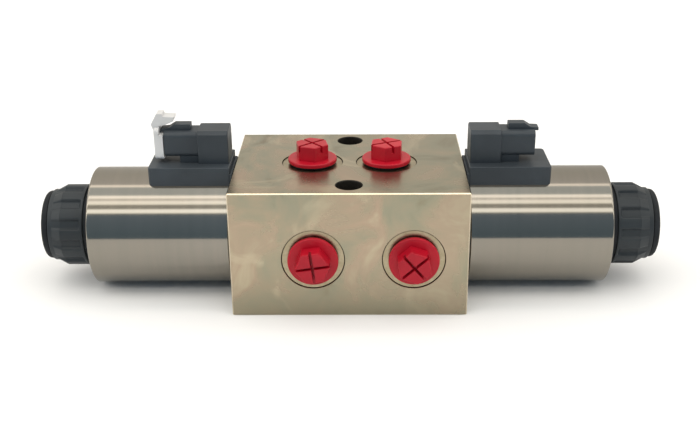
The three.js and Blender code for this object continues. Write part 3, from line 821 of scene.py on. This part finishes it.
def connector_shapes():
    """End ring, base, root, shroud and catch of the plug connector, less the contacts' holes."""
    ring_x = span("connector_housing_right")[0].x
    base_x, shroud_x, mouth = ring_x + 1.1, ring_x + 14.9, ring_x + 29.4
    coil = span("coil_shell_right")[1].z - AXIS_Z
    half, root_top = CONNECTOR["half"], CONNECTOR["root_top"]
    base_top, base_end = CONNECTOR["base_top"], CONNECTOR["base_end"]
    ring = turned(rounded([
        (ring_x, 16.6), (ring_x, coil - 0.4, 0.3), (base_x + 0.1, coil - 0.4), (base_x + 0.1, 23.5),
        (ring_x + 4, 23.5), (ring_x + 4, 16.6),
    ]), at=ON_AXIS, sides=128)
    tab = box((ring_x, -half, 45), (base_x + 0.1, half, 54.6), 0.3)
    base = prism(rounded([
        (base_x, -half, 0.4), (base_end, -half, 1.6), (base_end, half, 1.6), (base_x, half, 0.4),
    ]), "z", 44, base_top, 0.5, 3)
    neck = box((60, -6, 48.9), (74, 6, base_top - 1))
    root = prism([
        (-7, base_top - 0.5), (7, base_top - 0.5), (7, root_top - 1.5), (5.5, root_top),
        (-5.5, root_top), (-7, root_top - 1.5),
    ], "x", ring_x + 1.6, shroud_x, 0.5, 3)
    shroud = prism(rectangle((-6.3, 60.5), (6.3, 71.6), 2.3), "x", shroud_x - 1, mouth, 0.2, 2)
    support = box((shroud_x - 0.5, -5.2, base_top - 0.4), (73.5, 5.2, 61.4), 0.6)
    catch = prism(rounded([
        (68.5, 71.2), (79.6, 71.2), (79.8, 70.9), (81.5, 70.9, 0.3), (81.5, 72.3, 0.3), (78.1, 72.5, 0.6),
        (75.4, 74.2, 0.5), (68.5, 74.2, 0.3),
    ]), "y", -2.5, 2.5, 0.2, 2)
    cavity = prism(rectangle((-4.9, 62.3), (4.9, 70.2), 1.4), "x", 68, mouth + 1)
    return (ring, tab, base, neck, root, support, catch), shroud, cavity


def connector(side):
    black = MATERIALS["housing_plastic"]
    solids, shroud, cavity = connector_shapes()
    radius, z = CONTACT["radius"], CONTACT["z"]
    rows = (-CONTACT["y"], CONTACT["y"])
    pin_holes = [turned(disc(radius + 0.1, 59, 69), at=(0, y, z), sides=32) for y in rows]
    mesh = mesh_of("connector", [*solids, carved_shape(shroud, [cavity, *pin_holes], black)], [black])
    piece(f"connector_{side}", mesh, f"coil_{side}", [f"connector_housing_{side}"], side)
    outline = rounded([(60, 0), (60, radius, 0.1), (75, radius, 0.7), (75, 0)], closed=False)
    for number, y in enumerate(rows, 1):
        name = f"contact_pin_{number}_{side}"
        made = mesh_of("contact", [turned(outline, at=(0, y, z), sides=48)], [MATERIALS["contact_brass"]])
        piece(f"{name}_fine", made, f"coil_{side}", [name], side)


def fluted_nut_shape():
    """Nut turned from its outline, with flutes pressed in along its grip."""
    low, high = span("lock_nut_right")
    radius, thread, flutes, depth = (NUT[key] for key in ("radius", "thread", "flutes", "depth"))
    start, neck, rim = low.x + 3.1, radius - 1.2, 15.95
    outline = rounded([
        (low.x, thread + 0.9), (low.x, neck, 0.3), (low.x + 2.1, neck), (low.x + 2.1, radius, 0.35),
        (low.x + 2.5, radius),
    ], steps=3)[1:-1]
    grip = [Vector((low.x + 2.7 + k * 0.35, radius)) for k in range(27)]
    cone = rounded([
        (low.x + 11.7, radius), (low.x + 12, radius, 0.5), (high.x - 1.8, rim, 0.5), (high.x, rim, 0.3),
        (high.x, 13), (low.x + 10.7, 13), (low.x + 10.1, thread), (low.x + 0.8, thread),
        (low.x, thread + 0.9),
    ], closed=False)
    shape = turned(outline + grip + cone, at=ON_AXIS, sides=flutes * 32)
    for vertex in shape.verts:
        x, y, z = vertex.co.x, vertex.co.y, vertex.co.z - AXIS_Z
        reach = math.hypot(y, z)
        if reach < rim - 0.05 or x < start:
            continue
        turn = math.atan2(z, y) * flutes / (2 * math.pi) + 0.25
        offset = abs(turn - round(turn)) * 2 * math.pi / flutes * radius
        across = min(1, max(0, (2.6 - offset) / 1.1))
        along = min(1, (x - start) / 0.9)
        floor = radius - depth * across * across * (3 - 2 * across) * along
        if reach > floor:
            vertex.co.y *= floor / reach
            vertex.co.z = AXIS_Z + z * floor / reach
    return shape


def lock_nut(side):
    black, dark = MATERIALS["black_plastic"], MATERIALS["black_rubber"]
    low, high = span("lock_nut_right")
    radius = (high.z - low.z) / 2
    collar = turned(rounded([
        (low.x + 0.1, radius - 1.5), (low.x + 0.1, radius - 0.3, 0.4), (low.x + 1.6, radius - 0.3, 0.4),
        (low.x + 1.6, radius - 1.5),
    ]), at=ON_AXIS, sides=96)
    nut = mesh_of("nut", [fluted_nut_shape(), painted(collar, 1)], [black, dark])
    piece(f"fluted_nut_{side}", nut, f"lock_nut_{side}", [f"lock_nut_{side}"], side, 40)
    low, high = span("nut_seal_right")
    ring = turned(rounded([
        (low.x, 12.4, 0.2), (low.x, 17.2, 0.3), (high.x, 17.2, 0.3), (high.x, 12.4, 0.2),
    ], steps=3), at=ON_AXIS, sides=96)
    seal = mesh_of("nut_ring", [ring], [dark])
    piece(f"nut_ring_{side}", seal, f"nut_seal_{side}", [f"nut_seal_{side}"], side)
    boot = mesh_of("boot", [boot_shape()], [dark])
    body = f"lock_nut_{side}"
    piece(f"rubber_boot_{side}", boot, body, [f"override_boot_{side}"], side, 50)


def boot_shape():
    """Rubber cover in the nut's end: a dished wall with a push button in the middle."""
    back = span("lock_nut_right")[1].x + 0.3
    return turned(rounded([
        (back - 2.6, 0), (back - 2.6, 3.6), (back + 0.2, 4), (back + 0.2, 11.4), (back - 5.6, 11.4),
        (back - 5.6, 12.6), (back, 12.6), (back, 15.2, 0.4), (back + 2.9, 15.2, 1.6), (back + 2.9, 13.2, 0.5),
        (back + 1.5, 12.2, 0.6), (back + 1.5, 7.0, 0.8), (back + 2.5, 5.0, 0.8), (back + 2.7, 0),
    ], closed=False), at=ON_AXIS, sides=96)


def core_tube(side):
    """Pressure tube with its hexagon flange against the block and the nut's thread on its outer end."""
    low, high = span("core_tube_right")
    radius, bore, neck, seal_bore = (TUBE[key] for key in ("radius", "bore", "neck", "seal_bore"))
    pole, pocket, root = TUBE["pole"], TUBE["pocket"], radius - 0.5
    tube = turned(rounded([
        (low.x, seal_bore), (low.x, root), (low.x + 0.8, radius), (high.x - 11.5, radius),
        (high.x - 11, root), (high.x - 0.5, root), (high.x, radius - 1), (high.x, bore),
        (pole, bore), (pole, neck), (pocket, neck), (pocket, seal_bore),
    ]), at=ON_AXIS, sides=96)
    flange = prism(hexagon(27, 0.6), "x", 50.1, 54, 0.3)
    bmesh.ops.translate(flange, verts=flange.verts, vec=ON_AXIS)
    steel = MATERIALS["plain_steel"]
    bore_cutter = turned(disc(root, 49, 55), at=ON_AXIS, sides=96)
    ring = carved_shape(flange, [bore_cutter], steel)
    thread = fitted_thread(high.x - 10.8, high.x - 0.6, TUBE["pitch"], root, radius + 0.2, at=ON_AXIS)
    mesh = mesh_of("core_tube", [tube, ring, thread], [steel])
    piece(f"pressure_tube_{side}", mesh, "valve", [f"core_tube_{side}"], side)


def wound_spring(kind, side):
    """A spring of round wire with closed ends."""
    mean, wire, turns = (SPRINGS[kind][key] for key in ("mean", "wire", "turns"))
    low, high = span(f"{kind}_spring_right")
    angles = [k * math.pi / 6 for k in range(12)]
    section = [(wire * math.cos(angle), mean + wire * math.sin(angle)) for angle in angles]
    start, end = low.x + wire, high.x - wire
    coils = helix(section, start, end, (end - start) / turns, at=ON_AXIS, per_turn=40, tight=2.15 * wire)
    mesh = mesh_of("spring", [coils], [MATERIALS["spring_steel"]])
    made = piece(f"{kind}_coils_{side}", mesh, None, [f"{kind}_spring_{side}"], side, 60)
    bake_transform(made)


def connector_cap():
    """Protective cap: a plate over the mouth, and an arm hooked over the catch."""
    white = MATERIALS["white_plastic"]
    mouth = -span("connector_cap")[1].x
    plate = prism(rectangle((-6, 59.4), (6, 73), 1.5), "x", 80.1, 84, 0.3)
    cut_plate = carved_shape(plate, [box((79, -7, 70.3), (81.9, 7, 74))], white)
    arm = prism(rounded([
        (82.2, 70), (84, 70, 0.2), (85.4, 74.4, 0.8), (82.8, 79.1, 0.4), (80.2, 79, 0.2), (80.2, 77.9, 0.3),
        (75.2, 77.6, 0.2), (mouth + 0.5, 75.7, 0.2), (79.4, 74.1, 0.6), (82.2, 73.4, 0.4),
    ]), "y", -3, 3, 0.12, 1)
    cap = mesh_of("cap", [cut_plate, arm], [white])
    piece("protective_cap", cap, "connector_cap", ["connector_cap"], "left")


def dress_inner_nodes():
    """Procedural materials for the CAD parts that stay as they are inside the valve."""
    slots = {entry["node"]: entry["material_slot"] for entry in frame["record"]["subparts"]}
    for name, node in frame["nodes"].items():
        if node.hide_render:
            continue
        node.data.materials.clear()
        node.data.materials.append(MATERIALS[slots[name]])


valve_block()
gallery_plug("gallery_plug_end", "x")
gallery_plug("gallery_plug_back", "y")
for port in PORTS:
    port_plug(port)
for end in SIDES:
    coil_can(end)
    connector(end)
    lock_nut(end)
    core_tube(end)
    wound_spring("centring", end)
    wound_spring("override", end)
connector_cap()
dress_inner_nodes()


# ---- floor, light and camera ----


def floor():
    """A wide pale floor, which the camera sees no front edge of."""
    made = Surface("studio_floor", (0.9, 0.9, 0.9), 0.6, specular_ior_level=0.2)
    made.color(made.ramp(made.noise(3, 2, 0.5), (0.3, 0.89), (0.7, 0.91)))
    mesh = bpy.data.meshes.new("studio_floor")
    far, front = 6.0, -0.3
    corner = [(-far, front, 0), (far, front, 0), (far, far, 0), (-far, far, 0)]
    mesh.from_pydata(corner, [], [(0, 1, 2, 3)])
    mesh.materials.append(made.material)
    ground = bpy.data.objects.new("studio_floor", mesh)
    bpy.context.scene.collection.objects.link(ground)


# Degrees up from the front horizon and over to the back one, with the light that comes from there.
LIGHT_BANDS = (
    (0, (0.21, 0.29, 0.36)), (40, (0.30, 0.38, 0.47)), (43, (0.6, 0.6, 0.55)), (45, (3.1, 3.05, 2.9)),
    (51, (3.1, 3.05, 2.9)), (53, (0.75, 0.72, 0.66)), (60, (0.8, 0.77, 0.68)), (62.5, (3.0, 2.9, 2.7)),
    (68, (3.0, 2.9, 2.7)), (70, (1.7, 1.6, 1.5)), (73, (1.7, 1.6, 1.5)), (75, (3.3, 3.15, 2.95)),
    (79, (3.3, 3.15, 2.95)), (81.5, (1.1, 1.15, 1.15)), (99, (1.1, 1.15, 1.15)), (101.5, (2.8, 2.6, 2.4)),
    (104.5, (2.8, 2.6, 2.4)), (107, (1.1, 1.05, 1.0)), (140, (0.92, 0.88, 0.8)), (180, (0.7, 0.66, 0.6)),
)
BACKDROP = (1.1, 1.1, 1.1)  # what the camera sees beyond the floor
# From far left (-1) to far right (1), how strong the light is.
SIDE_LIGHT = ((-0.9, 1.2), (-0.5, 1.05), (-0.05, 1.04), (0.3, 0.93), (0.5, 0.93), (0.9, 1.08))


def studio():
    """Pale surroundings with long soft lights overhead and at the sides, and a darker room in front."""
    world = bpy.data.worlds.new("studio")
    bpy.context.scene.world = world
    world.use_nodes = True
    tree = world.node_tree
    tree.nodes.clear()
    new, link = tree.nodes.new, tree.links.new
    direction = new("ShaderNodeTexCoord")
    parts = new("ShaderNodeSeparateXYZ")
    link(direction.outputs["Generated"], parts.inputs[0])
    towards = new("ShaderNodeMath")
    towards.operation = "MULTIPLY"
    towards.inputs[1].default_value = -1
    link(parts.outputs["Y"], towards.inputs[0])
    angle = new("ShaderNodeMath")
    angle.operation = "ARCTAN2"
    link(parts.outputs["Z"], angle.inputs[0])
    link(towards.outputs[0], angle.inputs[1])
    share = new("ShaderNodeMath")
    share.operation = "DIVIDE"
    share.inputs[1].default_value = math.pi
    link(angle.outputs[0], share.inputs[0])
    bands = new("ShaderNodeValToRGB")
    fill_ramp(bands, [(degrees / 180, shade) for degrees, shade in LIGHT_BANDS])
    link(share.outputs[0], bands.inputs["Fac"])
    across = new("ShaderNodeMapRange")
    across.inputs["From Min"].default_value = -1
    link(parts.outputs["X"], across.inputs["Value"])
    sides = new("ShaderNodeValToRGB")
    fill_ramp(sides, [((place + 1) / 2, strength) for place, strength in SIDE_LIGHT])
    link(across.outputs["Result"], sides.inputs["Fac"])
    lit = new("ShaderNodeBackground")
    link(bands.outputs["Color"], lit.inputs["Color"])
    link(sides.outputs["Color"], lit.inputs["Strength"])
    plain = new("ShaderNodeBackground")
    plain.inputs["Color"].default_value = (*BACKDROP, 1)
    seen = new("ShaderNodeLightPath")
    mixed = new("ShaderNodeMixShader")
    link(seen.outputs["Is Camera Ray"], mixed.inputs[0])
    link(lit.outputs[0], mixed.inputs[1])
    link(plain.outputs[0], mixed.inputs[2])
    output = new("ShaderNodeOutputWorld")
    link(mixed.outputs[0], output.inputs["Surface"])


CAMERA = {"place": (0.00527, -0.4354, 0.2169), "tilt": 23.39, "pan": -0.69, "roll": -0.43, "lens": 54.33}


def camera():
    """A camera in front of the valve and above it, looking a little down."""
    tilt, pan, roll = (math.radians(CAMERA[key]) for key in ("tilt", "pan", "roll"))
    forward = Vector((math.sin(pan) * math.cos(tilt), math.cos(pan) * math.cos(tilt), -math.sin(tilt)))
    level = Vector((math.cos(pan), -math.sin(pan), 0))
    raised = level.cross(forward)
    right = level * math.cos(roll) + raised * math.sin(roll)
    up = raised * math.cos(roll) - level * math.sin(roll)
    data = bpy.data.cameras.new("camera")
    data.lens = CAMERA["lens"]
    data.sensor_width = 36
    made = bpy.data.objects.new("camera", data)
    bpy.context.scene.collection.objects.link(made)
    turn = Matrix((right, up, -forward)).transposed().to_4x4()
    made.matrix_world = Matrix.Translation(CAMERA["place"]) @ turn
    bpy.context.scene.camera = made


bpy.context.scene.view_settings.view_transform = "Standard"
floor()
studio()
camera()
